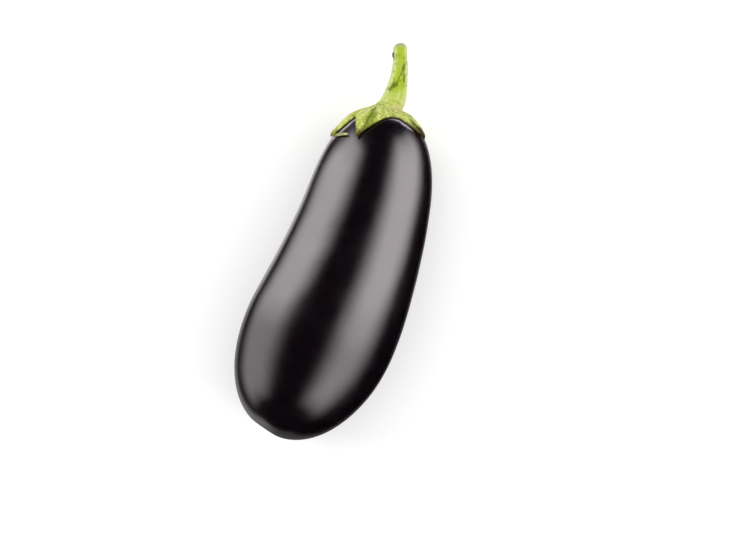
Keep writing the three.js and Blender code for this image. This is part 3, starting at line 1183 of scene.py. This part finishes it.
def tent_light(tree, studio):
    """How bright the tent is, by how far along it and how far round from straight up a place is."""
    position = add_node(tree, "ShaderNodeTexCoord", {}).outputs["Object"]
    axes = add_node(tree, "ShaderNodeSeparateXYZ", {0: position}).outputs
    angle = calculated(tree, "ARCTAN2", axes["Y"], axes["Z"])
    mirrored = product(tree, angle, -1.0)

    def edge(turn, start, end, to_start=0.0, to_end=1.0):
        """A soft edge between two angles from straight up, in degrees."""
        return step_of(tree, turn, math.radians(start), math.radians(end), to_start, to_end)

    def fade(start, end, to_start=0.0, to_end=1.0):
        """A soft change along the tent."""
        return step_of(tree, axes["X"], start, end, to_start, to_end)

    def slant(start, end, degrees):
        """How far an edge has turned at a place along the tent."""
        return fade(start, end, 0.0, math.radians(degrees))

    # The lower edges run aslant: the left one drops away towards the stalk and the right one rises.
    left_top = calculated(tree, "SUBTRACT", angle, slant(0.42, 0.22, 8.5), slant(0.4, 0.6, 3))
    left_edge = calculated(tree, "ADD", angle, slant(0.1, 0.6, 20))
    right_edge = calculated(tree, "SUBTRACT", mirrored, slant(0.0, 0.6, 20), slant(0.5, 1.0, 12))
    left = product(
        tree,
        edge(left_top, 25, 61),
        edge(left_edge, 133, 99),
        fade(0.83, 0.62, 0.0, studio.left_tent),
        fade(0.32, 0.55, 1.0, 0.79),
        fade(-0.15, 0.35, 0.44, 1.0),
    )
    right = product(
        tree,
        edge(mirrored, 9, 49),
        edge(right_edge, 101, 58),
        fade(2.9, 0.7, 0.0, studio.right_tent),
        fade(-0.15, 0.35, 0.56, 1.0),
    )
    left_under = product(
        tree, edge(angle, 134, 152), studio.tent_floor, edge(angle, 180, 158, 0.3, 1.0)
    )
    right_under = product(tree, edge(mirrored, 147, 163), studio.tent_floor * 0.3)
    sides = product(tree, calculated(tree, "ADD", left, right), fade(-1.6, -0.6))
    under = calculated(tree, "ADD", left_under, right_under)
    under = product(tree, under, fade(-0.1, 0.15, 0.4, 1.0), fade(0.2, 0.5, 1.0, 1.5))
    return calculated(tree, "ADD", sides, under)


def add_lamp(lamp, power):
    """A soft square lamp that faces the eggplant and leaves no reflection of its own."""
    light = bpy.data.lights.new(lamp.name, "AREA")
    light.size = lamp.size
    light.energy = power
    piece = linked(lamp.name, light)
    piece.location = lamp.place
    piece.rotation_euler = (MIDDLE - Vector(lamp.place)).to_track_quat("-Z", "Y").to_euler()
    piece.visible_glossy = False
    piece.visible_camera = False


def add_world(studio):
    """White where the camera sees it, soft grey as light, and nearly dark in reflections."""
    world = bpy.data.worlds.new("studio")
    world.use_nodes = True
    tree = world.node_tree
    path = tree.nodes.new("ShaderNodeLightPath").outputs
    soft = product(tree, path["Is Diffuse Ray"], studio.sky)
    glossy = product(tree, path["Is Glossy Ray"], GLOSSY_SKY)
    seen = product(tree, path["Is Camera Ray"], CAMERA_SKY)
    background = tree.nodes["Background"]
    background.inputs["Color"].default_value = (1, 1, 1, 1)
    strength = calculated(tree, "ADD", soft, glossy, seen)
    tree.links.new(strength, background.inputs["Strength"])
    bpy.context.scene.world = world


def add_camera(settings):
    """Looks down on the fruit, with the crown at its place in the picture."""
    studio = settings.studio
    width, height = PICTURE
    data = bpy.data.cameras.new("camera")
    data.lens = studio.lens
    data.sensor_width = SENSOR
    focal_pixels = data.lens / data.sensor_width * width
    distance = focal_pixels * studio.pixel
    view = Vector((-math.cos(studio.elevation), 0, math.sin(studio.elevation)))
    level_up = Vector((math.sin(studio.elevation), 0, math.cos(studio.elevation)))
    level_right = level_up.cross(view)
    up = level_up * math.cos(studio.roll) - level_right * math.sin(studio.roll)
    right = up.cross(view)
    crown = seat(settings.fruit) - MIDDLE
    depth = distance - crown.dot(view)
    across = (CROWN_PIXEL[0] - width / 2) / focal_pixels * depth
    upwards = (height / 2 - CROWN_PIXEL[1]) / focal_pixels * depth
    target = MIDDLE + right * (crown.dot(right) - across) + up * (crown.dot(up) - upwards)
    camera = linked("camera", data)
    turn = Matrix((right, up, view)).transposed().to_4x4()
    camera.matrix_world = Matrix.Translation(target + view * distance) @ turn
    bpy.context.scene.camera = camera


class EGGPLANT_PT_panel(bpy.types.Panel):
    """Lists the pieces of the eggplant"""

    bl_idname = "EGGPLANT_PT_panel"
    bl_label = "Eggplant"
    bl_space_type = "VIEW_3D"
    bl_region_type = "UI"
    bl_category = "Eggplant"

    def draw(self, context):
        settings = context.scene.eggplant
        for group in (settings.fruit, settings.calyx, settings.stalk, settings.studio):
            box = self.layout.box()
            for name in group.__annotations__:
                box.prop(group, name)
        for operator in OPERATORS:
            self.layout.operator(operator.bl_idname)


GROUPS = (FruitSettings, CalyxSettings, StalkSettings, StudioSettings, EggplantSettings)
OPERATORS = (EGGPLANT_OT_fruit, EGGPLANT_OT_calyx_and_stalk, EGGPLANT_OT_studio)


def register():
    for cls in (*GROUPS, *OPERATORS, EGGPLANT_PT_panel):
        bpy.utils.register_class(cls)
    bpy.types.Scene.eggplant = PointerProperty(type=EggplantSettings)


def unregister():
    del bpy.types.Scene.eggplant
    for cls in reversed((*GROUPS, *OPERATORS, EGGPLANT_PT_panel)):
        bpy.utils.unregister_class(cls)


def main():
    register()
    bpy.ops.eggplant.fruit()
    bpy.ops.eggplant.calyx_and_stalk()
    bpy.ops.eggplant.studio()


if __name__ == "__main__":
    main()
